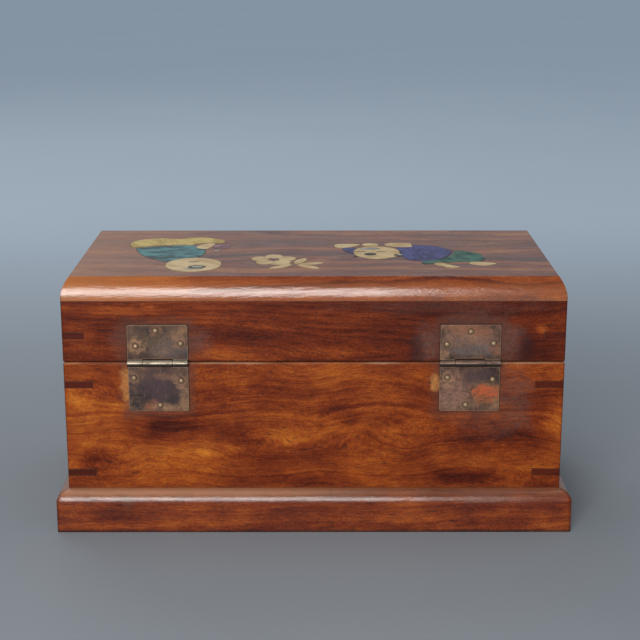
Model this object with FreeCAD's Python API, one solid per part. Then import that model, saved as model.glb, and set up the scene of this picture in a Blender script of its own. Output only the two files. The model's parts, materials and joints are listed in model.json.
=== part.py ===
"""An inlaid hardwood box: mitred boards with contrasting corner keys, a hinged lid and a moulded plinth.

Frame: millimetres, +Z up, origin under the middle of the plinth. The hinges are on the -Y side ("back"), the
side that opens faces +Y ("front"), and left and right are as seen from the hinge side.
"""

import FreeCAD
import Part
import math
import os

V = FreeCAD.Vector

# Carcass: the body and the lid share one plan
body_width = 239.0
body_depth = 116.0
board = 10.0
corner_round = 1.0
rim_chamfer = 0.7

# Heights of the layers, from the table up
plinth_height = 21.0
body_height = 63.5
lid_gap = 0.3
lid_frame_height = 29.8
panel_thickness = 11.2

# Plinth moulding
plinth_proud = 5.5
plinth_round = 6.0

# Bottom panel, held in grooves run along the body boards
bottom_thickness = 5.0
groove_depth = 4.0
groove_lift = 4.0
groove_play = 0.15
key_clearance = 0.4

# Lid panel: a thumbnail edge outside, and a step under it that locates the frame
edge_inset = 4.0
step_depth = 2.5
step_play = 0.15

# Corner keys: triangular slips let in across each mitre
key_thickness = 3.5
body_key_leg = 14.0
lid_key_leg = 10.5
key_play = 0.05
body_upper_key_drop = 11.0
body_lower_key_rise = 8.0
lid_key_rise = 13.0

# Hinges
hinge_spread = 148.4
leaf_width = 28.6
leaf_thickness = 0.9
lid_leaf_height = 18.6
body_leaf_height = 24.0
leaf_corner_round = 0.8
barrel_radius = 1.7
barrel_standoff = 0.05
pin_radius = 0.8
pin_play = 0.04
pin_overhang = 0.35
middle_knuckle = 14.0
knuckle_gap = 0.2
barrel_relief = 0.4

# Round-headed hinge nails
nail_head_radius = 1.6
nail_head_height = 1.05
nail_shank_radius = 0.65
nail_length = 7.5
nail_tip = 1.6
nail_play = 0.05
nail_offsets = {
    ("lid", "left"): ((-10.4, 8.3), (-0.8, 15.9), (11.0, 9.6)),
    ("lid", "right"): ((-11.2, 9.2), (0.0, 15.4), (10.9, 9.6)),
    ("body", "left"): ((-11.6, -7.4), (10.9, -8.8), (0.6, -21.0)),
    ("body", "right"): ((-10.6, -7.3), (10.9, -8.2), (-1.7, -20.9)),
}

# Inlay slips let into the lid panel; the picture is drawn on squares from a base line along the lid
picture_width = 200.0
picture_columns = 200
picture_setback = 58.0
inlay_thickness = 2.0
inlay_proud = 0.12
inlay_play = 0.08
petal_count = 5
petal_radius = 4.6
petal_orbit = 7.0
blossom_eye_radius = 2.3
blossom_centre = (-20.0, -18.5)
leaf_root = (-9.5, -29.5)
leaf_spread = 1.2
leaf_angles = (-35, 15, 70, 165, 215)
leaf_length = 14.0
leaf_half_width = 2.7

# Levels and faces that follow from the sizes above
rim_z = plinth_height + body_height
lid_z = rim_z + lid_gap
panel_z = lid_z + lid_frame_height
top_z = panel_z + panel_thickness
back_y = -body_depth / 2
hinge_z = rim_z + lid_gap / 2
hinge_y = back_y - barrel_radius - barrel_standoff
hinge_x = {"left": -hinge_spread / 2, "right": hinge_spread / 2}
groove_z = plinth_height + groove_lift
picture_grid = picture_width / picture_columns
picture_y = back_y + picture_setback
inlay_top = top_z + inlay_proud
inlay_floor = inlay_top - inlay_thickness
outward = {"back": (0, -1), "front": (0, 1), "left": (-1, 0), "right": (1, 0)}
corners = {"back_left": (-1, -1), "back_right": (1, -1), "front_left": (-1, 1), "front_right": (1, 1)}


def block(x0, x1, y0, y1, z0, z1):
    """A box between two corners."""
    return Part.makeBox(x1 - x0, y1 - y0, z1 - z0, V(x0, y0, z0))


def prism(points, z0, z1):
    """A flat polygon given by (x, y) points, raised from z0 to z1."""
    wire = Part.makePolygon([V(x, y, z0) for x, y in points + points[:1]])
    return Part.Face(wire).extrude(V(0, 0, z1 - z0))


def rounded_block(width, depth, z0, z1, radius):
    """A centred box whose four upright edges are rounded."""
    solid = block(-width / 2, width / 2, -depth / 2, depth / 2, z0, z1)
    upright = [e for e in solid.Edges if abs(e.tangentAt(e.FirstParameter).z) > 0.99]
    return solid.makeFillet(radius, upright)


def mitre_wedge(side, width, depth, thickness, z0, z1):
    """The part of a mitred frame that belongs to one side: a trapezium cut at 45 degrees."""
    ox, oy = outward[side]
    half_along = (width if oy else depth) / 2
    half_across = (depth if oy else width) / 2
    outline = [(-half_along, half_across), (half_along, half_across),
               (half_along - thickness, half_across - thickness),
               (thickness - half_along, half_across - thickness)]
    turned = [(a * oy + b * ox, b * oy - a * ox) for a, b in outline]
    return prism(turned, z0, z1)


def swept_profile(side, width, depth, edges):
    """A profile run along one whole side. Its edges are drawn as (distance in from the outer face, z)."""
    ox, oy = outward[side]
    half_across = (depth if oy else width) / 2
    length = width if oy else depth

    def place(point):
        across = half_across - point[0]
        return V(across * ox - oy * length / 2, across * oy + ox * length / 2, point[1])

    drawn = []
    for edge in edges:
        spots = [place(p) for p in edge]
        drawn.append(Part.LineSegment(*spots) if len(spots) == 2 else Part.Arc(*spots))
    face = Part.Face(Part.Wire([d.toShape() for d in drawn]))
    return face.extrude(V(oy * length, -ox * length, 0))


def closed(points):
    """Straight edges round a list of profile points."""
    return [(p, q) for p, q in zip(points, points[1:] + points[:1])]


def frame_board(side, z0, z1, chamfer_top):
    """One mitred board of the body or the lid, with the outer edge of its rim eased."""
    top = [(rim_chamfer, z1), (0, z1 - rim_chamfer)] if chamfer_top else [(0, z1)]
    foot = [(0, z0)] if chamfer_top else [(0, z0 + rim_chamfer), (rim_chamfer, z0)]
    run = swept_profile(side, body_width, body_depth, closed([(board, z0), (board, z1)] + top + foot))
    wedge = mitre_wedge(side, body_width, body_depth, board, z0, z1)
    return run.common(wedge).common(rounded_block(body_width, body_depth, z0, z1, corner_round))


def plinth_rail(side):
    """One mitred rail of the plinth: it carries a body board and stands proud with a rounded shoulder."""
    width, depth = body_width + 2 * plinth_proud, body_depth + 2 * plinth_proud
    rail = board + plinth_proud
    r, h = plinth_round, plinth_height
    slant = r * (1 - math.sqrt(0.5))
    profile = [((rail, 0), (rail, h)), ((rail, h), (r, h)), ((r, h), (slant, h - slant), (0, h - r)),
               ((0, h - r), (0, 0)), ((0, 0), (rail, 0))]
    run = swept_profile(side, width, depth, profile)
    wedge = mitre_wedge(side, width, depth, rail, 0, h)
    return run.common(wedge).common(rounded_block(width, depth, 0, h, corner_round))


def thumbnail_panel():
    """The lid's top: its edges curve in from the frame's face to a crisp line round the flat field."""
    half_turn = math.atan2(edge_inset, panel_thickness)
    radius = panel_thickness / math.sin(2 * half_turn)
    middle = (radius * (1 - math.cos(half_turn)), panel_z + radius * math.sin(half_turn))

    def run(side, width, depth):
        across = depth if outward[side][1] else width
        near, far = (edge_inset, top_z), (across - edge_inset, top_z)
        profile = [((0, panel_z), middle, near), (near, far),
                   (far, (across - middle[0], middle[1]), (across, panel_z)),
                   ((across, panel_z), (0, panel_z))]
        return swept_profile(side, width, depth, profile)

    crown = run("back", body_width, body_depth).common(run("left", body_width, body_depth))
    crown = crown.common(rounded_block(body_width, body_depth, panel_z, top_z, corner_round))
    step_x = body_width / 2 - board - step_play
    step_y = body_depth / 2 - board - step_play
    step = block(-step_x, step_x, -step_y, step_y, panel_z - step_depth, panel_z)
    return crown.fuse(step).removeSplitter()


def corner_wedge(corner, leg, z0, z1):
    """A triangle that fills an outer corner of the carcass, with a leg along each face."""
    sx, sy = corners[corner]
    x, y = sx * body_width / 2, sy * body_depth / 2
    return prism([(x, y), (x - sx * leg, y), (x, y - sy * leg)], z0, z1)


def corner_key(corner, leg, z, play=0.0):
    """A triangular slip that ties a mitre; with play it is the slot cut for the slip."""
    half = key_thickness / 2 + play
    wedge = corner_wedge(corner, leg + play, z - half, z + half)
    return wedge.common(rounded_block(body_width, body_depth, z - half, z + half, corner_round))


def leaf_plate(x, z0, z1):
    """A hinge leaf's plate, flat on the back face, with softened outer corners."""
    plate = block(x - leaf_width / 2, x + leaf_width / 2, back_y - leaf_thickness, back_y, z0, z1)
    outer_z = z1 if z0 + z1 > 2 * hinge_z else z0
    soft = [e for e in plate.Edges
            if abs(e.tangentAt(e.FirstParameter).y) > 0.99 and abs(e.CenterOfMass.z - outer_z) < 0.01]
    return plate.makeFillet(leaf_corner_round, soft)


def barrel(x0, x1, radius):
    """A round bar along the hinge line."""
    return Part.makeCylinder(radius, x1 - x0, V(x0, hinge_y, hinge_z), V(1, 0, 0))


def knuckle_spans(x, outer):
    """Where a leaf's knuckles lie along the hinge line: the two outer ones, or the middle one."""
    middle = middle_knuckle / 2
    inner_end, outer_end = middle + knuckle_gap, leaf_width / 2
    if outer:
        return [(x - outer_end, x - inner_end), (x + inner_end, x + outer_end)]
    return [(x - middle, x + middle)]


def hinge_leaf(x, height, outer):
    """A leaf with its knuckles rolled from the plate, relieved where the other leaf's knuckles turn."""
    up = 1 if outer else -1
    z0, z1 = sorted((hinge_z, hinge_z + up * height))
    leaf = leaf_plate(x, z0, z1)
    clear = barrel_radius + barrel_relief
    for x0, x1 in knuckle_spans(x, not outer):
        leaf = leaf.cut(block(x0 - knuckle_gap, x1 + knuckle_gap, hinge_y - clear, back_y + clear,
                              hinge_z - clear, hinge_z + clear))
    for x0, x1 in knuckle_spans(x, outer):
        leaf = leaf.fuse(barrel(x0, x1, barrel_radius))
    bore = barrel(x - leaf_width, x + leaf_width, pin_radius + pin_play)
    return leaf.cut(bore).removeSplitter()


def hinge_pin(x):
    """The wire that both leaves turn on, with eased ends."""
    half = leaf_width / 2 + pin_overhang
    pin = barrel(x - half, x + half, pin_radius)
    return pin.makeChamfer(pin_overhang * 0.8, [e for e in pin.Edges if e.Closed])


def nail_spots(x, offsets):
    """Nail centres on a leaf, from offsets to the middle of the hinge line."""
    return [(x + dx, hinge_z + dz) for dx, dz in offsets]


def nail(x, z):
    """A round-headed nail driven square through a leaf into the board behind it."""
    face = back_y - leaf_thickness
    dome = (nail_head_radius ** 2 + nail_head_height ** 2) / (2 * nail_head_height)
    r, tip_y = nail_shank_radius, face + nail_length
    bend = math.asin(nail_head_radius / dome) / 2
    shoulder = (dome * math.sin(bend), face - nail_head_height + dome * (1 - math.cos(bend)))
    spots = [(0, face - nail_head_height), shoulder, (nail_head_radius, face), (r, face),
             (r, tip_y - nail_tip), (0, tip_y)]
    at = [V(x + a, y, z) for a, y in spots]
    edges = [Part.Arc(*at[:3]).toShape()]
    edges += [Part.LineSegment(p, q).toShape() for p, q in zip(at[2:], at[3:] + at[:1])]
    return Part.Face(Part.Wire(edges)).revolve(V(x, 0, z), V(0, 1, 0), 360)


def nail_hole(x, z):
    """The hole a nail passes through in the leaf and the board."""
    mouth = V(x, back_y - leaf_thickness, z)
    return Part.makeCylinder(nail_shank_radius + nail_play, nail_length + nail_play, mouth, V(0, 1, 0))


def outline(start, *steps):
    """A closed outline on the lid: a step is a point to go straight to, or a pair to arc through and end at.
    """
    here, edges = start, []
    for step in steps:
        spots = [here, step] if not isinstance(step[0], tuple) else [here, *step]
        at = [V(x * picture_grid, picture_y + y * picture_grid, inlay_floor) for x, y in spots]
        edges.append((Part.LineSegment(*at) if len(at) == 2 else Part.Arc(*at)).toShape())
        here = spots[-1]
    return Part.Wire(edges)


def oval(x, y, half_width, half_height):
    """An oval outline of four arcs, centred at a point on the lid."""
    k = math.sqrt(0.5)
    a, b = half_width, half_height
    return outline((x + a, y), ((x + a * k, y + b * k), (x, y + b)), ((x - a * k, y + b * k), (x - a, y)),
                   ((x - a * k, y - b * k), (x, y - b)), ((x + a * k, y - b * k), (x + a, y)))


def polar(centre, radius, angle):
    """The point at a distance and an angle in degrees from a centre."""
    a = math.radians(angle)
    return (centre[0] + radius * math.cos(a), centre[1] + radius * math.sin(a))


def leaf_outline(x, y, angle):
    """A pointed leaf of two arcs that starts at a point and runs out at an angle in degrees."""
    a = math.radians(angle)
    along, across = (math.cos(a), math.sin(a)), (-math.sin(a), math.cos(a))

    def at(u, v):
        return (x + along[0] * u + across[0] * v, y + along[1] * u + across[1] * v)

    middle = leaf_length / 2
    return outline(at(0, 0), (at(middle, leaf_half_width), at(leaf_length, 0)),
                   (at(middle, -leaf_half_width), at(0, 0)))


def slip(wire):
    """A slip of inlay of the standard thickness with the given outline."""
    return Part.Face(wire).extrude(V(0, 0, inlay_thickness))


def pocket(wire):
    """The room that a slip needs in the panel or in a slip that lies behind it."""
    grown = wire.makeOffset2D(inlay_play)
    return Part.Face(grown).extrude(V(0, 0, inlay_thickness))


def seated_child():
    """A child sitting with a flower, the head towards the hinges; slips in front come first."""
    return {
        "inlay_seated_head": [oval(-58.8, -29.6, 13.6, 15.3)],
        "inlay_seated_hand": [outline(
            (-60.6, 10.4), ((-59.0, 15.6), (-54.6, 20.2)), ((-51.8, 19.8), (-51.6, 17.0)),
            ((-52.8, 11.0), (-55.0, 6.4)), ((-58.6, 7.0), (-60.6, 10.4)))],
        "inlay_flower": [oval(-47.6, 12.0, 4.4, 5.6)],
        "inlay_flower_leaf": [oval(-49.4, 2.8, 1.9, 3.2)],
        "inlay_seated_jacket": [outline(
            (-91.0, 8.6), ((-79.0, 13.4), (-66.0, 15.4)), ((-58.4, 11.0), (-55.4, 1.0)),
            ((-56.8, -10.6), (-63.0, -19.6)), ((-69.6, -23.4), (-76.0, -20.4)),
            ((-86.0, -8.0), (-91.0, 8.6)))],
        "inlay_seated_trousers": [outline(
            (-92.4, 9.6), ((-95.2, 21.0), (-89.6, 29.8)), ((-80.0, 32.8), (-70.6, 31.0)),
            ((-60.4, 35.0), (-51.0, 30.6)), ((-46.6, 25.0), (-48.6, 20.4)),
            ((-56.4, 21.2), (-63.4, 15.6)), ((-78.6, 14.8), (-92.4, 9.6)))],
    }


def lying_child():
    """A child lying on its front, chin on its hands, feet up; slips in front come first."""
    return {
        "inlay_lying_head": [oval(31.6, -2.2, 11.6, 15.2)],
        "inlay_lying_hands": [
            outline((10.6, 12.6), ((11.2, 17.4), (15.6, 18.6)), ((20.6, 18.4), (24.0, 16.6)),
                    ((20.4, 12.2), (16.0, 9.0)), ((12.4, 9.0), (10.6, 12.6))),
            oval(29.0, 16.4, 4.4, 4.0),
            outline((36.0, 16.8), ((38.6, 20.2), (44.0, 21.4)), (50.4, 20.8), (50.6, 11.2),
                    ((45.0, 10.8), (40.6, 12.2)), ((37.6, 13.8), (36.0, 16.8)))],
        "inlay_lying_sleeve": [outline(
            (14.4, 7.4), ((17.6, 9.4), (21.6, 8.0)), ((20.2, 2.0), (20.4, -5.4)),
            ((16.2, 0.0), (14.4, 7.4)))],
        "inlay_lying_jacket": [outline(
            (42.6, 10.6), ((47.6, 10.2), (51.0, 16.2)), ((61.6, 12.6), (70.4, 2.0)),
            ((66.8, -10.6), (57.6, -21.0)), ((50.0, -21.4), (45.4, -14.0)),
            ((42.0, -2.0), (42.6, 10.6)))],
        "inlay_lying_feet": [
            outline((59.0, -26.6), ((62.0, -25.4), (64.6, -28.4)), ((67.6, -31.6), (71.0, -34.6)),
                    ((66.0, -36.2), (62.4, -32.6)), ((59.0, -30.2), (59.0, -26.6))),
            outline((76.4, -24.6), ((80.0, -23.4), (84.0, -25.0)), ((87.0, -25.8), (89.4, -27.6)),
                    ((84.0, -31.4), (78.6, -30.0)), ((76.0, -28.0), (76.4, -24.6)))],
        "inlay_lying_trousers": [outline(
            (71.0, 2.0), ((80.0, -1.4), (84.0, -13.0)), ((83.6, -20.6), (78.0, -24.2)),
            ((71.6, -23.4), (66.0, -25.4)), ((60.0, -26.6), (54.4, -28.6)),
            ((52.8, -25.0), (54.0, -21.8)), ((66.0, -13.0), (71.0, 2.0)))],
    }


def blossom_spray():
    """A plain five-petalled blossom with a round eye and a few leaves, in the middle of the lid."""
    petals = []
    for n in range(petal_count):
        x, y = polar(blossom_centre, petal_orbit, 90 + 360 * n / petal_count)
        petals.append(oval(x, y, petal_radius, petal_radius))
    leaves = [leaf_outline(*polar(leaf_root, leaf_spread, angle), angle) for angle in leaf_angles]
    return {
        "inlay_blossom_eye": [oval(*blossom_centre, blossom_eye_radius, blossom_eye_radius)],
        "inlay_blossom_petals": petals,
        "inlay_blossom_leaves": leaves,
    }


def cut_behind(figure):
    """Turns a figure's outlines into slips: what lies in front is cut out of what lies behind it."""
    slips, taken = {}, []
    for name, wires in figure.items():
        made = []
        for wire in wires:
            piece = slip(wire)
            for room in taken:
                piece = piece.cut(room)
            taken.append(pocket(wire))
            made.append(piece)
        slips[name] = made
    return slips, taken


def assemble():
    """Every piece of the box as a list of solids under its node's name."""
    nodes = {}
    for side in outward:
        nodes["plinth_%s_rail" % side] = [plinth_rail(side)]
        nodes["body_%s_board" % side] = [frame_board(side, plinth_height, rim_z, True)]
        nodes["lid_%s_board" % side] = [frame_board(side, lid_z, panel_z, False)]

    tongue_x = body_width / 2 - board + groove_depth
    tongue_y = body_depth / 2 - board + groove_depth
    play = groove_play
    panel = block(play - tongue_x, tongue_x - play, play - tongue_y, tongue_y - play,
                  groove_z, groove_z + bottom_thickness)
    nodes["bottom_panel"] = [panel.cut([
        corner_wedge(corner, body_key_leg + key_clearance, groove_z, groove_z + bottom_thickness)
        for corner in corners])]
    groove = block(-tongue_x, tongue_x, -tongue_y, tongue_y,
                   groove_z - play, groove_z + bottom_thickness + play)

    body_keys = (rim_z - body_upper_key_drop, plinth_height + body_lower_key_rise)
    lid_keys = (lid_z + lid_key_rise,)
    body_cuts, lid_cuts = [groove], []
    for corner in corners:
        nodes["body_keys_" + corner] = [corner_key(corner, body_key_leg, z) for z in body_keys]
        nodes["lid_key_" + corner] = [corner_key(corner, lid_key_leg, z) for z in lid_keys]
        body_cuts += [corner_key(corner, body_key_leg, z, key_play) for z in body_keys]
        lid_cuts += [corner_key(corner, lid_key_leg, z, key_play) for z in lid_keys]

    leaves = (("lid", lid_leaf_height, True, lid_cuts), ("body", body_leaf_height, False, body_cuts))
    for side, x in hinge_x.items():
        for part, height, outer, cuts in leaves:
            spots = nail_spots(x, nail_offsets[part, side])
            holes = [nail_hole(*spot) for spot in spots]
            nodes["hinge_%s_leaf_%s" % (part, side)] = [hinge_leaf(x, height, outer).cut(holes)]
            nodes["hinge_%s_nails_%s" % (part, side)] = [nail(*spot) for spot in spots]
            cuts += holes
        nodes["hinge_pin_" + side] = [hinge_pin(x)]

    for side in outward:
        for part, cuts in (("body", body_cuts), ("lid", lid_cuts)):
            name = "%s_%s_board" % (part, side)
            nodes[name] = [nodes[name][0].cut(cuts)]

    pockets = []
    for figure in (seated_child(), lying_child(), blossom_spray()):
        slips, rooms = cut_behind(figure)
        nodes.update(slips)
        pockets += rooms
    nodes["lid_top_panel"] = [thumbnail_panel().cut(pockets)]
    return nodes


def main():
    os.makedirs("parts", exist_ok=True)
    for name, pieces in sorted(assemble().items()):
        solids = [s for piece in pieces for s in piece.Solids]
        shape = solids[0] if len(solids) == 1 else Part.makeCompound(solids)
        print("%-24s solids %d  volume %9.2f  valid %s" % (name, len(solids), shape.Volume, shape.isValid()))
        shape.exportStep("parts/%s.step" % name)


main()
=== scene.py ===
# %% [markdown]
# # An inlaid hardwood box
# This lesson dresses a box that already exists as a frame of true-size pieces: mitred boards, corner
# keys, hinges, nails and slips of inlay. Blender's share is the finish of every surface, the small things
# that are too fine for the frame, and a plain studio. Lengths are in metres unless a line says
# millimetres, +Z is up, and the hinges face -Y.

# %% Load the frame
import json
import math

import bmesh
import bpy
from mathutils import Matrix, Vector


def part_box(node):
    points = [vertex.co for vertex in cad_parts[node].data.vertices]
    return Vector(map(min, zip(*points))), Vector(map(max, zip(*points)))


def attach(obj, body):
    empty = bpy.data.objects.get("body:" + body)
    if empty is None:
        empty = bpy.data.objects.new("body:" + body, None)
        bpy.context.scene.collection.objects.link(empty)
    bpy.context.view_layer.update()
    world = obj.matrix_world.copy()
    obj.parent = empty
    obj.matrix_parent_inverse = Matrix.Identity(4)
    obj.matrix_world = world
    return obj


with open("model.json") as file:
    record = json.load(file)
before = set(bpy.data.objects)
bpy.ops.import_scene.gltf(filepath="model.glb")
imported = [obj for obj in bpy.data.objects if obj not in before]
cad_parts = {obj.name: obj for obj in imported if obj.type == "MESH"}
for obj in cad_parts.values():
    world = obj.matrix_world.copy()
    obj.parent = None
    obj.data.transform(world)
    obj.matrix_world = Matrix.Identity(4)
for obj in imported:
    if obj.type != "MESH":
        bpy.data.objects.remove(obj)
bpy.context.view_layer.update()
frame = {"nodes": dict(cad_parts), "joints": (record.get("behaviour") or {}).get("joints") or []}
nodes = frame["nodes"]
MM = 0.001

# %% [markdown]
# ## Node helpers
# Materials are graphs of small nodes. These helpers make one node, set its inputs and return its output,
# so that a material reads from top to bottom like a recipe. An input is a plain value or another node's
# output.


# %% Node helpers
def set_input(tree, socket, value):
    """Links an input to another node's output, or sets it to a plain value."""
    if isinstance(value, bpy.types.NodeSocket):
        tree.links.new(value, socket)
    else:
        socket.default_value = value


def add(tree, kind, inputs=None, output=0, **settings):
    """Adds a shader node, sets or links its inputs, and returns one of its outputs."""
    made = tree.nodes.new("ShaderNode" + kind)
    for name, value in settings.items():
        setattr(made, name, value)
    for name, value in (inputs or {}).items():
        set_input(tree, made.inputs[name], value)
    return made.outputs[output]


def calc(tree, operation, a, b=0.0):
    """One arithmetic step."""
    return add(tree, "Math", {0: a, 1: b}, operation=operation)


def plus(tree, a, b):
    """The sum of two values."""
    return calc(tree, "ADD", a, b)


def times(tree, a, b):
    """The product of two values."""
    return calc(tree, "MULTIPLY", a, b)


def split(tree, vector):
    """The X, Y and Z of a vector, each as an output of its own."""
    made = tree.nodes.new("ShaderNodeSeparateXYZ")
    tree.links.new(vector, made.inputs[0])
    return made.outputs


def blend(tree, factor, a, b, mode="MIX"):
    """Mixes two colours. A plain colour is three numbers."""
    made = tree.nodes.new("ShaderNodeMix")
    made.data_type = "RGBA"
    made.blend_type = mode
    for name, value in (("Factor", factor), ("A", a), ("B", b)):
        fits = [s for s in made.inputs if s.name == name and (s.type == "RGBA" or name == "Factor")]
        set_input(tree, fits[0], (*value, 1.0) if isinstance(value, tuple) else value)
    return [s for s in made.outputs if s.type == "RGBA"][0]


def ramp(tree, factor, stops):
    """A colour ramp through (position, colour) stops."""
    made = tree.nodes.new("ShaderNodeValToRGB")
    tree.links.new(factor, made.inputs[0])
    elements = made.color_ramp.elements
    while len(elements) < len(stops):
        elements.new(0.5)
    for element, (position, colour) in zip(elements, stops):
        element.position = position
        element.color = (*colour, 1.0)
    return made.outputs[0]


def fade(tree, value, low, high, low_out=0.0, high_out=1.0):
    """Maps a value smoothly from one range to another."""
    inputs = {"Value": value, "From Min": low, "From Max": high, "To Min": low_out, "To Max": high_out}
    return add(tree, "MapRange", inputs, interpolation_type="SMOOTHSTEP")


# %% [markdown]
# ## Noise and materials
# Most marks on an old surface are a noise, drawn out one way and faded between two levels. The noises
# read Object coordinates, so a pattern stays on its piece when the lid turns. A finish goes on a piece of
# the frame through its material slot, and the piece itself is left alone.


# %% Noise and materials
def noise(tree, vector, scale=1.0, detail=3.0, roughness=0.5):
    """A cloudy noise."""
    return add(tree, "TexNoise", {"Vector": vector, "Scale": scale, "Detail": detail, "Roughness": roughness})


def sized_noise(tree, vector, size, detail=3.0, roughness=0.5, offset=(0, 0, 0)):
    """A noise whose features are of a size in metres each way. The offset picks another part of the noise."""
    inputs = {"Vector": vector, "Scale": tuple(1 / s for s in size), "Location": offset}
    return noise(tree, add(tree, "Mapping", inputs), 1.0, detail, roughness)


def centred(tree, value, amount):
    """A noise value shifted to lie either side of zero, times an amount."""
    return times(tree, calc(tree, "SUBTRACT", value, 0.5), amount)


def new_material(name):
    """A material with its tree, its shader, its object coordinates and their X, Y and Z."""
    material = bpy.data.materials.new(name)
    material.use_nodes = True
    tree = material.node_tree
    place = add(tree, "TexCoord", output="Object")
    return material, tree, tree.nodes["Principled BSDF"], place, split(tree, place)


def set_inputs(tree, shader, **inputs):
    """Sets or links the named inputs of a shader."""
    for name, value in inputs.items():
        set_input(tree, shader.inputs[name.replace("_", " ")], value)


def paint(name, material):
    """Gives one of the frame's pieces a finish."""
    slots = nodes[name].data.materials
    slots.clear()
    slots.append(material)


# %% [markdown]
# ## Grain
# The boards are a dense reddish timber with dark, wandering streaks. Real streaks are growth rings cut
# along the board, so they follow each other like contour lines. A plain noise would make clouds instead.
# Here a slow noise bends one coordinate, and a one-dimensional noise reads the result: every contour
# takes one tone, and the streaks run together along the board. Fibres, flecks and short dark pores lie on
# the same bent coordinates.


# %% Grain
GRAIN_TURN = {"x": 0.0, "y": math.radians(90)}
FINE_LINE = 0.0021


def rings(tree, contour, width, seed):
    """A one-dimensional noise: every contour of the bent coordinate takes one tone."""
    ring = plus(tree, calc(tree, "DIVIDE", contour, width), seed)
    inputs = {"W": ring, "Scale": 1.0, "Detail": 3.0, "Roughness": 0.6}
    return add(tree, "TexNoise", inputs, noise_dimensions="1D")


def grain(tree, place, along, seed, streak=0.009, sway=0.010, reach=0.085, knit=0.003):
    """The figure of a board, in layers from 0 to 1. streak is the width of a streak, sway how far it wanders,
    reach the length of one bend, and knit how rough its edge is."""
    turned = add(tree, "Mapping", {"Vector": place, "Rotation": (0, 0, GRAIN_TURN[along])})
    x, y, z = split(tree, turned)
    bend = sized_noise(tree, turned, (reach, 0.030, 0.030), 1.0, 0.4, (seed, 1.7 * seed, seed))
    ripple = sized_noise(tree, turned, (0.016, 0.005, 0.005), 2.0, 0.5, (seed, seed, 0))
    flow = plus(tree, plus(tree, times(tree, y, 0.55), z), centred(tree, bend, 4.4 * sway))
    contour = plus(tree, flow, centred(tree, ripple, knit))
    bent = add(tree, "CombineXYZ", {"X": x, "Y": y, "Z": flow})
    dashes = sized_noise(tree, bent, (0.0060, 0.004, 0.00040), 1.0, 0.5, (0, seed, 0))
    return {
        "streaks": rings(tree, contour, streak, 3.1 * seed),
        "lines": rings(tree, contour, FINE_LINE, seed),
        "starts": sized_noise(tree, bent, (0.020, 0.008, 0.0015), 3.0, 0.55, (seed, 0, seed)),
        "fibres": sized_noise(tree, bent, (0.0048, 0.004, 0.00048), 4.0, 0.7),
        "flecks": sized_noise(tree, bent, (0.0013, 0.0010, 0.00055), 3.0, 0.7, (seed, seed, 0)),
        "pores": fade(tree, dashes, 0.60, 0.72),
        "cloud": sized_noise(tree, turned, (0.034, 0.018, 0.018), 4.0, 0.6, (2 * seed, 0, seed)),
        "ridges": sized_noise(tree, bent, (0.0060, 0.0022, 0.0016), 2.0, 0.6, (seed, 0, 0)),
    }


# %% [markdown]
# ## Waxed rosewood
# The layers of the grain add up to one tone, and a ramp turns the tone into the timber's colours, from
# nearly black to orange. The wax is a clear coat on top. It fills the pores and stands in low ridges
# along the grain, so its bump is coarser than the wood's own. Edges are rubbed round with a Bevel node,
# which bends the light at an edge and leaves the true-size board as it is.


# %% Waxed rosewood
TONES = [(0.20, (0.015, 0.0020, 0.0012)), (0.36, (0.062, 0.0080, 0.0026)), (0.48, (0.130, 0.0200, 0.0042)),
         (0.60, (0.230, 0.0450, 0.0072)), (0.80, (0.410, 0.1200, 0.0150))]
FINE_LAYERS = (("lines", 0.14), ("starts", 0.17), ("fibres", 0.24), ("flecks", 0.36))
GOLDEN = (1.35, 1.50, 1.1)
PORE = (0.022, 0.006, 0.0035)


def patch(tree, place, centre, half, ragged=0.0, blur=(0.2, 1.3)):
    """1 in the middle of an oval in X and Z, fading to 0 over the blur. The oval is in millimetres."""
    middle, size = [c * MM for c in centre], [h * MM for h in half]
    inputs = {"Vector": place, "Scale": (1 / size[0], 0, 1 / size[1]),
              "Location": (-middle[0] / size[0], 0, -middle[1] / size[1])}
    reach = add(tree, "VectorMath", {0: add(tree, "Mapping", inputs)}, "Value", operation="LENGTH")
    return fade(tree, plus(tree, reach, ragged), *blur, 1.0, 0.0)


def wax(tree, shader, look, polish, sheen, soften):
    """The gloss of a waxed board: fine open grain under a coat that stands in low ridges."""
    rounded = add(tree, "Bevel", {"Radius": soften * MM}, samples=4)
    height = calc(tree, "SUBTRACT", look["fibres"], look["pores"])
    bump = add(tree, "Bump", {"Height": height, "Strength": 0.4, "Distance": 0.10 * MM, "Normal": rounded})
    ridges = plus(tree, look["ridges"], times(tree, look["flecks"], 0.25))
    depth = (0.03 + 0.05 * polish) * MM
    film = add(tree, "Bump", {"Height": ridges, "Strength": 1.0, "Distance": depth, "Normal": rounded})
    waxed = fade(tree, look["starts"], 0.36, 0.62, 0.72 * polish, polish)
    set_inputs(tree, shader, Normal=bump, Coat_Normal=film, Specular_IOR_Level=0.07, Coat_Weight=waxed,
               Coat_Roughness=sheen)


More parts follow.
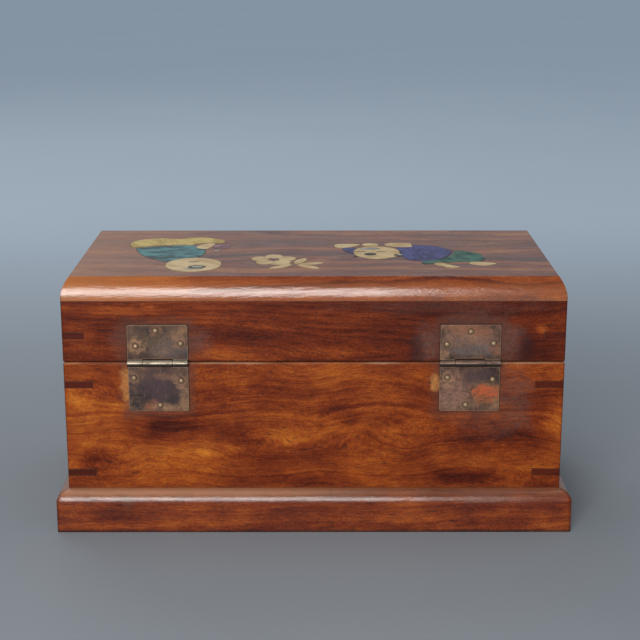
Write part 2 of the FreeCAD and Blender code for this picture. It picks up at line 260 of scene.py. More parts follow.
def rosewood(name, along, seed, lift=0.0, gold=0.0, streaky=0.8, mottle=0.30, polish=0.2, sheen=0.18,
             soften=0.5, smudges=(), **figure):
    """A waxed board. lift makes it lighter, gold warms its pale clouds, streaky and mottle are the strengths
    of streaks and clouds, polish is how much of the wax shines, sheen how much it blurs, and soften how far
    the edges are rubbed round. A smudge is (x, z, half width, half height, change of tone). soften and the
    smudges are in millimetres."""
    material, tree, shader, place, parts = new_material(name)
    look = grain(tree, place, along, seed, **figure)
    ragged = centred(tree, sized_noise(tree, place, (0.012, 0.012, 0.006), 4.0, 0.6), 2.0)
    tone = 0.5 + lift
    for layer, amount in (("streaks", streaky), ("cloud", mottle), *FINE_LAYERS):
        tone = plus(tree, tone, centred(tree, look[layer], amount))
    for x, z, half_width, half_height, change in smudges:
        spot = patch(tree, place, (x, z), (half_width, half_height), ragged)
        tone = plus(tree, tone, times(tree, spot, change))
    colour = ramp(tree, tone, TONES)
    warm = times(tree, fade(tree, look["cloud"], 0.45, 0.65), gold)
    colour = blend(tree, warm, colour, GOLDEN, "MULTIPLY")
    colour = blend(tree, times(tree, look["pores"], 0.6), colour, PORE)
    rough = plus(tree, times(tree, look["fibres"], 0.26), 0.26)
    rough = plus(tree, rough, times(tree, look["pores"], 0.15))
    wax(tree, shader, look, polish, sheen, soften)
    return {"material": material, "tree": tree, "shader": shader, "place": place, "parts": parts,
            "colour": colour, "rough": rough, "ragged": ragged}


def finish_wood(wood):
    """Links a board's colour, after any marks have been laid over it."""
    set_inputs(wood["tree"], wood["shader"], Base_Color=wood["colour"], Roughness=wood["rough"])
    return wood["material"]


# %% [markdown]
# ## Stains and dirt
# Wood beside old brass goes dark, and where a hinge sat before, the bare timber shows paler. A mark is a
# soft oval, box or band whose edge is broken up by noise, so it reads as a stain and not as a sticker.
# The places of the leaves come from the frame's own boxes. Marks of the hinge side stop at that face, so
# the inside of the box stays clean.

# %% Stains and dirt
DIRT_AND_SHADE = (0.016, 0.011, 0.010)
WEAR_AND_HIGHLIGHT = (0.42, 0.235, 0.135)
HAZE = (0.120, 0.072, 0.060)
TARNISH = (0.070, 0.040, 0.032)
back_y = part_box("body_back_board")[0][1]
print("hinge side at y", round(back_y, 4))


def stain(wood, mask, colour, amount, outside=False):
    """Lays a coloured mark over a board. An outside mark stays on the face that the hinges are nailed to."""
    tree = wood["tree"]
    factor = times(tree, mask, amount)
    if outside:
        outer_face = fade(tree, wood["parts"][1], back_y + 1 * MM, back_y + 3 * MM, 1, 0)
        factor = times(tree, factor, outer_face)
    wood["colour"] = blend(tree, factor, wood["colour"], colour)


def ragged_edge(wood, size, amount):
    """A noise in metres that breaks up the edge of a mark."""
    return centred(wood["tree"], noise(wood["tree"], wood["place"], 1 / size, 4.0), amount)


def near(tree, value, level, width):
    """1 at a level, fading to 0 a width away on both sides."""
    far = calc(tree, "ABSOLUTE", calc(tree, "SUBTRACT", value, level))
    return fade(tree, far, 0.0, width, 1.0, 0.0)


def oval_stain(wood, centre, half, colour, amount, blur=(0.2, 1.3)):
    """Lays an oval mark on the hinge side, in X and Z in millimetres, thin where the grain stands up."""
    tree = wood["tree"]
    thin = sized_noise(tree, wood["place"], (0.0016, 0.002, 0.0022), 4.0, 0.7)
    oval = patch(tree, wood["place"], centre, half, wood["ragged"], blur)
    stain(wood, times(tree, oval, fade(tree, thin, 0.36, 0.60, 0.45, 1.0)), colour, amount, outside=True)


def soft_box(tree, parts, centre, half, blur, ragged):
    """1 inside a rectangle in X and Z, fading to 0 outside it, with a ragged edge."""
    squares = []
    for value, middle, reach in ((parts[0], centre[0], half[0]), (parts[2], centre[1], half[1])):
        far = calc(tree, "ABSOLUTE", calc(tree, "SUBTRACT", value, middle))
        past = calc(tree, "MAXIMUM", calc(tree, "SUBTRACT", far, reach), 0.0)
        squares.append(calc(tree, "POWER", past, 2.0))
    distance = calc(tree, "SQRT", plus(tree, *squares))
    return fade(tree, plus(tree, distance, ragged), 0.0, blur, 1.0, 0.0)


def hinge_marks(wood, part):
    """A tarnished halo, and a thin dark line of dirt and painted shade round the hinge leaves on a back
    board.
    """
    tree, parts = wood["tree"], wood["parts"]
    wobble = plus(tree, ragged_edge(wood, 0.010, 0.008), ragged_edge(wood, 0.0022, 0.003))
    for side in ("left", "right"):
        low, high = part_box("hinge_%s_leaf_%s" % (part, side))
        centre = ((low[0] + high[0]) / 2, (low[2] + high[2]) / 2)
        half = ((high[0] - low[0]) / 2, (high[2] - low[2]) / 2)
        stain(wood, soft_box(tree, parts, centre, half, 6 * MM, wobble), TARNISH, 0.42, True)
        # A thin dark line of dirt and painted shade round each leaf.
        stain(wood, soft_box(tree, parts, centre, half, 0.7 * MM, 0.0), DIRT_AND_SHADE, 0.6, True)


# %% [markdown]
# ## Body boards
# Each board comes from its own stretch of timber, so each has its own seed. The body's boards are the
# most golden. Their rim is worn pale where the lid meets it and carries a painted highlight, dirt and
# painted shade darken the crease above the plinth, and bare wood shows beside the lower leaves. The back
# board's clouds are listed one by one, because a noise alone would not put the pale and the dark ones
# where the real board has them.

# %% Body boards
BARE = (0.40, 0.170, 0.050)
BODY_SMUDGES = [
    (-112, 56, 9, 24, 0.10), (-80, 40.5, 22, 6, 0.13), (-48, 42, 16, 5, 0.13), (-12, 46.6, 20, 7, 0.13),
    (71, 34, 16, 5, 0.12), (117, 46, 7, 20, 0.09), (8, 76, 10, 6, 0.07), (-69, 53, 12, 6, -0.19),
    (10, 60, 13, 9, -0.13), (-106, 35, 10, 7, -0.15), (80, 49, 20, 8, -0.10), (71, 26, 20, 3.5, -0.17),
    (-12, 24.5, 26, 3.5, -0.12), (-40, 66, 18, 8, -0.04), (45, 72, 12, 9, -0.06), (98, 52, 20, 24, -0.06)]
BARE_BLUR = (0.4, 1.1)
grain_of = {"back": "x", "front": "x", "left": "y", "right": "y"}
rim_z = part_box("body_back_board")[1][2]
plinth_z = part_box("plinth_back_rail")[1][2]


def body_board(side, seed):
    """A board of the body: worn rim with a painted highlight, dirt and painted shade at the plinth, and on
    the back the marks round the hinges.
    """
    back = side == "back"
    wood = rosewood("rosewood_body_" + side, grain_of[side], seed, lift=0.045, gold=0.45, streaky=0.28,
                    mottle=0.54, sway=0.006, reach=0.055, smudges=BODY_SMUDGES if back else ())
    tree, z = wood["tree"], wood["parts"][2]
    if back:
        oval_stain(wood, (97, 68), (9, 18), HAZE, 0.42)
        oval_stain(wood, (82, 54), (18, 9), HAZE, 0.2)
        hinge_marks(wood, "body")
        oval_stain(wood, (-89.6, 72.5), (3.8, 10.5), BARE, 0.9, BARE_BLUR)
        oval_stain(wood, (57.6, 74), (2.8, 4.6), BARE, 0.9, BARE_BLUR)
        oval_stain(wood, (55.4, 74.5), (0.8, 0.8), DIRT_AND_SHADE, 0.9)
    # Wear and painted highlight: a pale line along the rim under the lid.
    rim_break = plus(tree, z, ragged_edge(wood, 0.012, 0.0012))
    patchy = sized_noise(tree, wood["place"], (0.03, 0.03, 0.03), 3.0)
    rim = times(tree, fade(tree, rim_break, rim_z - 1.0 * MM, rim_z - 0.4 * MM),
                fade(tree, patchy, 0.4, 0.62, 0.2, 0.75))
    stain(wood, rim, WEAR_AND_HIGHLIGHT, 0.8 if back else 0.25, outside=back)
    # Dirt and painted shade darken the body just above the plinth.
    foot = plus(tree, z, ragged_edge(wood, 0.02, 0.003))
    stain(wood, fade(tree, foot, plinth_z + 3.6 * MM, plinth_z, 0, 1), DIRT_AND_SHADE, 0.18)
    return finish_wood(wood)


for number, side in enumerate(grain_of):
    paint("body_%s_board" % side, body_board(side, 1.3 + 2.1 * number))
print("body boards", len(grain_of), "rim at", round(rim_z, 4))

# %% [markdown]
# ## Lid boards
# The lid's frame is the darkest and reddest timber, with straighter streaks. Polish has gone cloudy in a
# haze beside the hinges, dirt and painted shade darken the lower edge, and dirt lies faintly in the glue
# line under the panel.

# %% Lid boards
LID_SMUDGES = [
    (-60, 113.5, 70, 2.6, 0.10), (-92, 110, 24, 3.5, 0.12), (-55, 106, 28, 3.2, 0.1),
    (-24, 102, 16, 2.8, 0.08), (-40, 89.8, 20, 4, 0.1), (5, 89.5, 24, 3.8, 0.12), (-104, 89, 12, 3, 0.07),
    (108, 101, 3.5, 3, 0.17), (-36, 98.6, 22, 4, -0.09), (40, 100, 28, 8, -0.05), (104, 94, 18, 12, -0.08),
    (-112, 97, 10, 6, 0.1), (60, 108, 30, 4, -0.04)]
LID_HAZE = [
    ((-55, 95), (7, 9), 0.45), ((54, 95), (7, 10), 0.6), ((93, 95), (8, 11), 0.6), ((-93, 95), (5, 8), 0.3),
    ((74, 106), (16, 3.4), 0.35), ((62, 112), (48, 4), 0.22)]
BLACKENED = (0.022, 0.008, 0.009)
lid_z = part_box("lid_back_board")[0][2]
panel_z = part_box("lid_back_board")[1][2]


def lid_board(side, seed):
    """A board of the lid's frame: faint glue line, lower edge dark with dirt and painted shade, and on the
    back the haze and hinge marks.
    """
    back = side == "back"
    wood = rosewood("rosewood_lid_" + side, grain_of[side], seed, lift=-0.055, gold=0.1, streaky=0.34,
                    mottle=0.24, reach=0.14, sway=0.005, smudges=LID_SMUDGES if back else ())
    tree, z = wood["tree"], wood["parts"][2]
    if back:
        for centre, half, amount in LID_HAZE:
            oval_stain(wood, centre, half, HAZE, amount)
        for x in (48.5, 100.5):
            oval_stain(wood, (x, 91), (4.5, 9), BLACKENED, 0.75)
        hinge_marks(wood, "lid")
    stain(wood, near(tree, z, panel_z, 0.5 * MM), DIRT_AND_SHADE, 0.12)
    # Dirt and painted shade darken the lower edge, where the lid meets the body.
    stain(wood, fade(tree, z, lid_z + 0.9 * MM, lid_z, 0, 1), DIRT_AND_SHADE, 0.7)
    return finish_wood(wood)


for number, side in enumerate(grain_of):
    paint("lid_%s_board" % side, lid_board(side, 7.9 + 1.7 * number))
print("lid boards", len(grain_of), "from", round(lid_z, 4), "to", round(panel_z, 4))

# %% [markdown]
# ## Plinth rails
# The plinth carries the most wax, and its shoulder is rubbed round, so it catches a long highlight. A
# painted highlight also makes the shoulder paler, most towards the left end, dust sits in the crease
# below the body, and the foot is darker towards the bottom.

# %% Plinth rails
PAINTED_SHOULDER_HIGHLIGHT = (0.48, 0.235, 0.125)
DUST = (0.26, 0.130, 0.075)
DULL_SPOT = (0.10, 0.058, 0.040)
PALE_SCUFF = (0.26, 0.15, 0.11)


def plinth_rail(side, seed):
    """A rail of the plinth: painted highlight on the shoulder, dusty crease at the top, darker foot."""
    wood = rosewood("rosewood_plinth_" + side, grain_of[side], seed, lift=-0.02, gold=0.3, streaky=0.45,
                    mottle=0.5, polish=1.0, sheen=0.18, soften=2.4, reach=0.12, sway=0.006)
    tree, z = wood["tree"], wood["parts"][2]
    if side == "back":
        oval_stain(wood, (-90, 16), (3.4, 5), DULL_SPOT, 0.4)
        oval_stain(wood, (88, 17), (18, 2.2), PALE_SCUFF, 0.4)
    ragged_z = plus(tree, z, ragged_edge(wood, 0.006, 0.0016))
    shoulder = fade(tree, ragged_z, plinth_z - 4.5 * MM, plinth_z - 1.2 * MM)
    # Painted highlight: the shoulder is painted paler, most at the left end.
    highlight_to_left = fade(tree, wood["parts"][0], -0.05, 0.06, 1.0, 0.25)
    stain(wood, times(tree, shoulder, highlight_to_left), PAINTED_SHOULDER_HIGHLIGHT, 0.62)
    stain(wood, near(tree, ragged_z, plinth_z, 0.9 * MM), DUST, 0.35)
    # The foot is darker towards the bottom.
    foot = plus(tree, z, ragged_edge(wood, 0.01, 0.002))
    stain(wood, fade(tree, foot, 2.2 * MM, 0.4 * MM, 0, 1), DIRT_AND_SHADE, 0.6)
    return finish_wood(wood)


for number, side in enumerate(grain_of):
    paint("plinth_%s_rail" % side, plinth_rail(side, 4.2 + 2.9 * number))
print("plinth rails", len(grain_of), "top at", round(plinth_z, 4))

# %% [markdown]
# ## The lid's panel and the bottom
# The panel shows its wide face, so its rings bend across Y. Its thumbnail edge is worn more orange by
# hands, the left end is painted paler as a painted sheen, the lower right of the round is darker, and the
# sharp edge round the field is chipped pale in places. A Bevel node finds that edge: where its softened
# normal leaves the true one, an edge is near. The bottom panel is plain timber.


# %% Panel and bottom
PAINTED_SHEEN = (0.52, 0.200, 0.060)
HANDLED = (0.34, 0.105, 0.024)
ROUND_RIGHT_DARKENING = (0.085, 0.046, 0.042)
field_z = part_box("lid_top_panel")[1][2]


def arris(tree, radius, low=0.997, high=0.93):
    """1 along the sharp edges of a piece, fading to 0 a radius away from them."""
    soft = add(tree, "Bevel", {"Radius": radius}, samples=6)
    true = add(tree, "NewGeometry", output="Normal")
    agree = add(tree, "VectorMath", {0: soft, 1: true}, "Value", operation="DOT_PRODUCT")
    return fade(tree, agree, low, high)


def lid_panel():
    """The lid's top with a worn edge and a painted sheen on its left end."""
    wood = rosewood("rosewood_lid_panel", "x", 3.7, lift=0.09, gold=0.4, streaky=0.85, polish=1.0, sheen=0.17,
                    streak=0.008, sway=0.006, reach=0.10)
    tree, z = wood["tree"], wood["parts"][2]
    # Painted sheen: the left end of the panel is painted paler.
    stain(wood, fade(tree, wood["parts"][0], -0.03, -0.125), PAINTED_SHEEN, 0.45)
    ragged_z = plus(tree, z, ragged_edge(wood, 0.01, 0.003))
    stain(wood, fade(tree, ragged_z, field_z - 0.2 * MM, field_z - 4 * MM, 0, 1), HANDLED, 0.3)
    chips = fade(tree, sized_noise(tree, wood["place"], (0.004, 0.004, 0.004), 3.0), 0.52, 0.66)
    stain(wood, times(tree, arris(tree, 0.5 * MM), chips), WEAR_AND_HIGHLIGHT, 0.8)
    stain(wood, near(tree, z, panel_z, 0.4 * MM), DIRT_AND_SHADE, 0.5)
    # The lower right of the round is darkened.
    oval_stain(wood, (88, 115.2), (44, 3.2), ROUND_RIGHT_DARKENING, 0.65)
    return finish_wood(wood)


paint("lid_top_panel", lid_panel())
paint("bottom_panel", finish_wood(rosewood("plain_bottom", "x", 9.4, lift=0.16, gold=0.5)))
print("panels 2, field at", round(field_z, 4))

# %% [markdown]
# ## Corner keys
# The keys are a near-black timber, let in across the mitres to tie them. The same recipe serves, with a
# dark tone mixed over it, and a pale line along the edges where old polish has gathered.


# %% Keys
KEY_BROWN = (0.066, 0.0100, 0.0045)
KEY_EDGE = (0.23, 0.105, 0.065)


def key_wood():
    """Dark timber for the corner keys."""
    wood = rosewood("key_wood_x", "x", 5.5, lift=-0.12)
    wood["colour"] = blend(wood["tree"], 0.70, wood["colour"], KEY_BROWN)
    stain(wood, arris(wood["tree"], 0.4 * MM), KEY_EDGE, 0.35)
    return finish_wood(wood)


dark_key = key_wood()
keys = [name for name in nodes if name.startswith(("body_keys", "lid_key"))]
for name in keys:
    paint(name, dark_key)
print("key nodes", len(keys))

# %% [markdown]
# ## Old brass: the blooms
# The leaves are sheet brass that has gone brown, with blue-grey, tan and reddish blooms. A noise makes
# the brown, but each leaf aged in its own way, so its main blooms are listed one by one, as ovals with a
# colour and a strength. Their ragged edges come from noise.

# %% Blooms
TAN = (0.290, 0.160, 0.085)
FOXED = (0.220, 0.104, 0.060)
RUST = (0.235, 0.082, 0.040)
BLOOD = (0.440, 0.082, 0.024)
EMBER = (0.300, 0.090, 0.030)
BLUSH = (0.245, 0.125, 0.086)
KHAKI = (0.150, 0.096, 0.048)
SLATE = (0.082, 0.074, 0.080)
PLUM = (0.046, 0.026, 0.034)
SOOT = (0.018, 0.013, 0.013)
BLOOMS = {
    "lid_left": [
        (-76, 95, 18, 12, SOOT, 0.3), (-68, 91, 11, 7, SLATE, 0.6), (-76, 96, 9, 5, KHAKI, 0.35),
        (-84.6, 93, 4.8, 4.4, TAN, 0.85), (-75, 100.5, 3.8, 3.2, FOXED, 0.7),
        (-63.2, 94.2, 3.6, 3.4, FOXED, 0.8), (-76, 87.2, 14, 2.0, SOOT, 0.6)],
    "body_left": [
        (-75, 72, 20, 15, PLUM, 0.6), (-76, 71, 14, 9, PLUM, 0.95), (-83.5, 66, 7, 7, SOOT, 0.95),
        (-67, 66, 4, 5, SOOT, 0.6), (-78, 63, 4.4, 3.4, RUST, 0.85), (-71, 62.4, 6.5, 2.6, TAN, 0.8),
        (-61.4, 66, 2.8, 9, TAN, 0.6), (-85.8, 77.2, 3.8, 3.6, TAN, 0.6), (-63.3, 75.8, 4.4, 4.2, TAN, 0.7),
        (-71, 78, 6, 2, FOXED, 0.55)],
    "lid_right": [
        (74, 97, 17, 9, BLUSH, 0.55), (75, 91.5, 13, 5, SLATE, 0.75), (74, 101.6, 14, 3.4, RUST, 0.75),
        (86, 92, 3, 4, RUST, 0.6), (61.5, 88.5, 2.6, 3, TAN, 0.7), (75, 87.4, 12, 1.8, SOOT, 0.5),
        (78, 95, 6, 2.2, FOXED, 0.5)],
    "body_right": [
        (67, 70, 11, 13, BLUSH, 0.9), (79, 78, 9, 4, PLUM, 0.85), (86.5, 70, 3, 5, RUST, 0.7),
        (82, 69.4, 8.6, 5.0, EMBER, 0.9), (79.6, 71, 5.6, 2.8, BLOOD, 0.85), (85, 69, 3.6, 2.6, BLOOD, 0.6),
        (63.6, 77.3, 3.6, 3.2, TAN, 0.7), (64, 73, 2, 1.6, TAN, 0.7), (72.5, 63.7, 4.4, 2.6, KHAKI, 0.7),
        (85.1, 76.4, 3.6, 3.4, SOOT, 0.6), (72.5, 75, 2.6, 5, PLUM, 0.5)],
    "pin": [],
}
print("blooms", sum(len(ovals) for ovals in BLOOMS.values()))

# %% [markdown]
# ## Old brass: leaves, pins and nails
# One material does a leaf and its knuckles: the knuckles stand furthest out from the wood, so the -Y
# coordinate says where the brass is bare. The height paints the knuckle: its upper side is rubbed bright
# with a painted highlight, and its underside is left dark with dirt and painted shade.
# The nails are rubbed on their crowns and dark where they meet the leaf.


# %% Brass
BROWNS = [(0.36, (0.026, 0.014, 0.011)), (0.47, (0.068, 0.034, 0.023)), (0.57, (0.120, 0.063, 0.038)),
          (0.70, (0.260, 0.135, 0.068))]
SCRATCH = (0.26, 0.185, 0.125)
SPECK = (0.026, 0.018, 0.014)
BARE_EDGE_AND_HIGHLIGHT = (0.42, 0.29, 0.19)
KNUCKLE_DIRT_AND_SHADE = (0.020, 0.015, 0.012)
NAIL_SIDE = (0.115, 0.066, 0.040)
NAIL_CROWN = (0.27, 0.180, 0.105)
BRIGHT_RUB_AND_HIGHLIGHT = (0.37, 0.31, 0.23)
DULL_RUB_AND_HIGHLIGHT = (0.20, 0.125, 0.095)
leaf_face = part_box("hinge_lid_leaf_left")[1][1] - 0.9 * MM
hinge_line = frame["joints"][0]["pos_m"][2]


def patina(tree, place, bloom, speck, ovals):
    """The colour of aged sheet brass: browns, blooms, scratches, specks, and bare edges with a painted
    highlight.
    """
    brushed = sized_noise(tree, place, (0.0005, 0.004, 0.006), 3.0, 0.6)
    ragged = centred(tree, noise(tree, place, 260.0, 6.0, 0.72), 2.8)
    worn = fade(tree, sized_noise(tree, place, (0.003, 0.004, 0.0012), 4.0, 0.7), 0.32, 0.62, 0.35, 1.0)
    colour = ramp(tree, bloom, BROWNS)
    for x, z, half_width, half_height, tint, amount in ovals:
        spot = patch(tree, place, (x, z), (half_width, half_height), ragged, (0.45, 1.15))
        colour = blend(tree, times(tree, times(tree, spot, worn), amount), colour, tint)
    colour = blend(tree, times(tree, fade(tree, brushed, 0.55, 0.75), 0.22), colour, SCRATCH)
    colour = blend(tree, times(tree, fade(tree, speck, 0.50, 0.70), 0.5), colour, SPECK)
    # Bare edges with a painted highlight: a pale line along every edge.
    return blend(tree, times(tree, arris(tree, 0.5 * MM), 0.55), colour, BARE_EDGE_AND_HIGHLIGHT)


def old_brass(name, seed, knuckle):
    """Patinated sheet brass with its blooms. knuckle is the colour of the knuckles' rubbed upper side, a
    painted highlight.
    """
    material, tree, shader, place, parts = new_material("old_brass_" + name)
    bloom = sized_noise(tree, place, (0.012, 0.012, 0.012), 5.0, 0.62, (seed, seed, seed))
    speck = noise(tree, place, 1300.0, 3.0, 0.6)
    colour = patina(tree, place, bloom, speck, BLOOMS[name])
    bare = fade(tree, parts[1], leaf_face - 0.3 * MM, leaf_face - 0.9 * MM)
    rub = fade(tree, sized_noise(tree, place, (0.005, 0.001, 0.001), 3.0), 0.3, 0.6, 0.35, 1.0)
    # Painted highlight and shade: the knuckles are darkened with dirt and painted shade, and their upper side
    # is painted bright.
    upper = fade(tree, parts[2], hinge_line - 0.35 * MM, hinge_line + 0.8 * MM, 0.03, 1.0)
    shine = times(tree, times(tree, bare, rub), upper)
    colour = blend(tree, bare, colour, KNUCKLE_DIRT_AND_SHADE)
    colour = blend(tree, shine, colour, knuckle)
    metal = plus(tree, times(tree, shine, 0.6), 0.18)
    rough = plus(tree, times(tree, speck, 0.3), 0.30)
    height = plus(tree, bloom, times(tree, speck, 0.15))
    rounded = add(tree, "Bevel", {"Radius": 0.25 * MM}, samples=4)
    bump = add(tree, "Bump", {"Height": height, "Strength": 0.35, "Distance": 0.3 * MM, "Normal": rounded})
    set_inputs(tree, shader, Base_Color=colour, Metallic=metal, Roughness=rough, Normal=bump,
               Specular_IOR_Level=0.3)
    return material


def nail_brass():
    """Nails rubbed on their crowns, dark where they meet the leaf."""
    material, tree, shader, place, parts = new_material("nail_brass")
    head_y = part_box("hinge_lid_nails_left")[0][1]
    speck = noise(tree, place, 700.0, 3.0)
    level = plus(tree, parts[1], times(tree, speck, 0.5 * MM))
    crown = fade(tree, level, head_y + 1.1 * MM, head_y + 0.3 * MM)
    colour = blend(tree, crown, NAIL_SIDE, NAIL_CROWN)
    rough = fade(tree, speck, 0.3, 0.7, 0.34, 0.6)
    set_inputs(tree, shader, Base_Color=colour, Metallic=0.4, Roughness=rough)
    return material


nails = nail_brass()
pin = old_brass("pin", 8.0, BRIGHT_RUB_AND_HIGHLIGHT)
for side, seed, rubbed in (("left", 1.0, BRIGHT_RUB_AND_HIGHLIGHT), ("right", 4.6, DULL_RUB_AND_HIGHLIGHT)):
    for part in ("lid", "body"):
        paint("hinge_%s_leaf_%s" % (part, side), old_brass(part + "_" + side, seed, rubbed))
        paint("hinge_%s_nails_%s" % (part, side), nails)
    paint("hinge_pin_" + side, pin)
print("hinges 2, pin at z", round(hinge_line, 4))

# %% [markdown]
# ## Inlay
# The slips are bone, plain or dyed, filed flush and polished with the panel. Bone shows fine parallel
# streaks and tiny dark pores, and a dye takes unevenly, so each slip is mottled from a light to a dark of
# its own colour. Glue and dirt draw a dark line round each slip.


# %% Inlay
BONE_PORE = (0.06, 0.035, 0.02)
GLUE_LINE = (0.045, 0.028, 0.020)


def inlay(name, light, dark, streak_turn):
    """A slip of polished bone, plain or dyed, between two tones."""
    material, tree, shader, place, _ = new_material(name)
    turned = add(tree, "Mapping", {"Vector": place, "Rotation": (0, 0, streak_turn)})
    streaks = sized_noise(tree, turned, (0.009, 0.0011, 0.004), 4.0, 0.6)
    cloud = sized_noise(tree, place, (0.012, 0.012, 0.012), 3.0)
    pores = fade(tree, sized_noise(tree, turned, (0.0016, 0.0003, 0.001), 1.0), 0.62, 0.74)
    flakes = sized_noise(tree, turned, (0.0090, 0.0055, 0.005), 4.0, 0.65)
    tone = 0.5
    for layer, amount in ((streaks, 0.6), (cloud, 0.5), (flakes, 0.9)):
        tone = plus(tree, tone, centred(tree, layer, amount))
    colour = ramp(tree, tone, [(0.38, dark), (0.58, light)])
    colour = blend(tree, times(tree, pores, 0.4), colour, BONE_PORE)
    colour = blend(tree, times(tree, arris(tree, 0.55 * MM), 0.75), colour, GLUE_LINE)
    bump = add(tree, "Bump", {"Height": streaks, "Strength": 0.15, "Distance": 0.1 * MM})
    rough = plus(tree, times(tree, cloud, 0.2), 0.3)
    set_inputs(tree, shader, Base_Color=colour, Roughness=rough, Normal=bump, Specular_IOR_Level=0.28)
    return material


bone = inlay("bone", (0.76, 0.57, 0.31), (0.56, 0.37, 0.165), 0.3)
yellow = inlay("yellow_slip", (0.70, 0.52, 0.16), (0.46, 0.31, 0.065), 1.2)
teal = inlay("teal_slip", (0.080, 0.275, 0.285), (0.008, 0.030, 0.042), 0.15)
violet = inlay("violet_slip", (0.080, 0.082, 0.260), (0.026, 0.026, 0.095), 1.5)
green = inlay("green_slip", (0.070, 0.200, 0.150), (0.012, 0.045, 0.034), 1.0)
purple = inlay("purple_slip", (0.36, 0.20, 0.20), (0.15, 0.045, 0.10), 0.2)
grey = inlay("grey_slip", (0.36, 0.27, 0.22), (0.17, 0.11, 0.085), 0.8)
slips = {
    "seated_head": bone, "seated_hand": bone, "lying_head": bone, "lying_hands": bone, "lying_feet": bone,
    "blossom_petals": bone, "blossom_leaves": bone, "blossom_eye": purple, "flower": purple,
    "flower_leaf": grey, "seated_jacket": teal, "seated_trousers": yellow, "lying_jacket": violet,
    "lying_sleeve": violet, "lying_trousers": green,
}
for name, material in slips.items():
    paint("inlay_" + name, material)
print("inlay slips", len(slips))

# %% [markdown]
# ## Painted touches
# The faces are plain bone with a few painted touches: a tuft of hair, a brow line or two, and pale dabs.
# They are a plain doll's, made of simple ovals. Each touch is a thin wafer that lies on the slip: a
# circle, scaled to size and pulled up by a paint film's thickness. A second coat lies one film higher
# than the first.


# %% Painted touches
FILM = 0.07 * MM
OVAL_SIDES = 24
BRUSH_TURN = 0.5
top_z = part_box("inlay_seated_jacket")[1][2]


def touch(name, ovals, material, lift=0.0):
    """A piece of thin wafers. An oval is (x, y, half width, half height, turn) in millimetres and degrees."""
    shape = bmesh.new()
    for x, y, half_width, half_height, turn in ovals:
        spot = Matrix.Translation((x * MM, y * MM, top_z + lift))
        spot = spot @ Matrix.Rotation(math.radians(turn), 4, "Z")
        spot = spot @ Matrix.Diagonal((half_width * MM, half_height * MM, 1, 1))
        disc = bmesh.ops.create_circle(shape, cap_ends=True, segments=OVAL_SIDES, radius=1.0, matrix=spot)
        face = disc["verts"][0].link_faces[0]
        raised = bmesh.ops.extrude_face_region(shape, geom=[face])["geom"]
        raised_verts = [v for v in raised if isinstance(v, bmesh.types.BMVert)]
        bmesh.ops.translate(shape, verts=raised_verts, vec=(0, 0, FILM))
    bmesh.ops.recalc_face_normals(shape, faces=shape.faces)
    mesh = bpy.data.meshes.new(name)
    shape.to_mesh(mesh)
    shape.free()
    mesh.materials.append(material)
    made = bpy.data.objects.new(name, mesh)
    bpy.context.scene.collection.objects.link(made)
    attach(made, "lid")
    print(name, len(mesh.polygons), "faces")


hair = inlay("hair_ink", (0.085, 0.072, 0.050), (0.030, 0.026, 0.020), BRUSH_TURN)
pale = inlay("pale_paint", (0.52, 0.50, 0.45), (0.30, 0.28, 0.24), BRUSH_TURN)
touch("seated_hair", [(-56.7, -35.0, 4.4, 3.5, 8), (-59.0, -23.6, 2.8, 0.7, 6)], hair)
touch("seated_tuft", [(-56.4, -34.6, 2.8, 1.9, 8)], pale, FILM)
touch("seated_cheek", [(-58.5, -38.9, 5.0, 1.3, 4)], pale)
touch("lying_hair", [(28.2, -6.4, 3.2, 3.0, 0), (42.2, -8.4, 2.4, 2.2, 20), (20.6, -11.4, 1.0, 1.4, -20),
                     (23.4, -0.2, 3.0, 0.55, 4), (34.0, -0.6, 3.0, 0.55, -4)], hair)
touch("lying_chin", [(28.4, 6.4, 5.2, 2.6, 4)], pale)
touch("lying_ears", [(43.0, -8.0, 1.4, 1.2, 20)], pale, FILM)

# %% [markdown]
# ## Camera
# The box stands with its hinges to the viewer. The camera's place and lens were fitted to the edges of
# the box, so the perspective is that of a long lens a little above the lid.

# %% Camera
CAMERA_PLACE = (0.0015, -0.7181, 0.2825)
CAMERA_PITCH = math.radians(15.01)
CAMERA_TURN = -0.00203
FOCAL_PIXELS = 1447.8
IMAGE_PIXELS = 640
camera_data = bpy.data.cameras.new("camera")
camera_data.sensor_width = 36.0
camera_data.lens = FOCAL_PIXELS / IMAGE_PIXELS * camera_data.sensor_width
camera = bpy.data.objects.new("camera", camera_data)
camera.location = CAMERA_PLACE
camera.rotation_euler = (math.radians(90) - CAMERA_PITCH, 0, CAMERA_TURN)
bpy.context.scene.collection.objects.link(camera)
bpy.context.scene.camera = camera
print("lens", round(camera_data.lens, 2))

# %% [markdown]
# ## Lamps
# A wide, low window lamp behind the camera gives the long highlight on the rounded edges, a ceiling lamp
# fills from above, and a lamp on the far side shines off the lid's top.


# %% Lamps
def lamp(name, place, aim, size, power, colour):
    """A rectangular soft lamp that looks at a point."""
    data = bpy.data.lights.new(name, "AREA")
    data.shape = "RECTANGLE"
    data.size, data.size_y = size
    data.energy = power
    data.color = colour
    made = bpy.data.objects.new(name, data)
    made.location = place
    made.rotation_euler = (Vector(aim) - Vector(place)).to_track_quat("-Z", "Y").to_euler()
    bpy.context.scene.collection.objects.link(made)
    print(name, "lamp", power, "W")


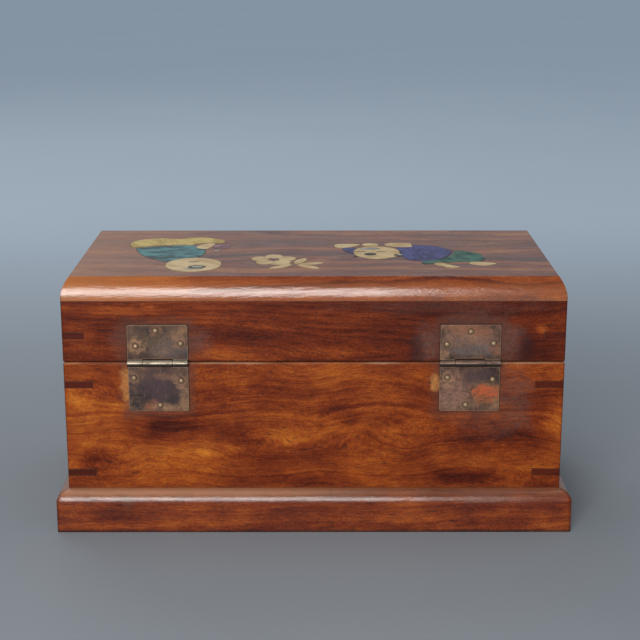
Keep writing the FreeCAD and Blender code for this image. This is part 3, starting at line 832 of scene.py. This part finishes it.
lamp("window", place=(-0.22, -1.27, 0.42), aim=(0, -0.06, 0.09), size=(0.74, 0.46), power=16.7,
     colour=(1.0, 0.975, 0.94))
lamp("ceiling", place=(-0.1, 0.1, 1.5), aim=(0, 0, 0.1), size=(1.2, 1.2), power=4.0, colour=(0.95, 0.98, 1.0))
lamp("far_side", place=(-0.5, 1.2, 1.25), aim=(0, 0, 0.08), size=(0.9, 0.9), power=5.0,
     colour=(1.0, 0.98, 0.96))

# %% [markdown]
# ## Floor and backdrop
# The floor is a plain grey-blue. Beyond the box it glows a little, to the eye and in polished surfaces
# alone, so the backdrop stays pale and even without more light on the box. The world is a dim grey, and
# paler to the eye.


# %% Floor and backdrop
FLOOR_HALF = 6.0
FLOOR_TONES = [(0.3, (0.27, 0.30, 0.335)), (0.7, (0.29, 0.32, 0.355))]
GLOW = (0.27, 0.35, 0.44, 1)
DIM_AIR = (0.20, 0.21, 0.22)
PALE_AIR = (0.30, 0.32, 0.335)


def on_view(tree):
    """1 for what the camera sees, directly, in a polish or through glass, and 0 for the light on things."""
    path = tree.nodes.new("ShaderNodeLightPath")
    seen = calc(tree, "MAXIMUM", path.outputs["Is Camera Ray"], path.outputs["Is Glossy Ray"])
    return calc(tree, "MAXIMUM", seen, path.outputs["Is Transmission Ray"])


def pale_floor():
    """The floor's finish, with its far end glowing."""
    material, tree, shader, place, parts = new_material("pale_floor")
    tone = ramp(tree, noise(tree, place, 3.0, 2.0), FLOOR_TONES)
    far_off = fade(tree, parts[1], -0.02, 0.8, 0.0, 0.62)
    set_inputs(tree, shader, Base_Color=tone, Roughness=0.85, Specular_IOR_Level=0.1, Emission_Color=GLOW,
               Emission_Strength=times(tree, far_off, on_view(tree)))
    return material


floor_mesh = bpy.data.meshes.new("floor")
sheet = bmesh.new()
bmesh.ops.create_grid(sheet, x_segments=1, y_segments=1, size=FLOOR_HALF)
sheet.to_mesh(floor_mesh)
sheet.free()
floor_mesh.materials.append(pale_floor())
floor = bpy.data.objects.new("floor", floor_mesh)
bpy.context.scene.collection.objects.link(floor)

world = bpy.data.worlds.new("studio")
bpy.context.scene.world = world
world.use_nodes = True
air = world.node_tree
air_colour = blend(air, on_view(air), DIM_AIR, PALE_AIR)
air.links.new(air_colour, air.nodes["Background"].inputs["Color"])
bpy.context.scene.view_settings.view_transform = "Standard"
print("floor", 2 * FLOOR_HALF, "m wide")
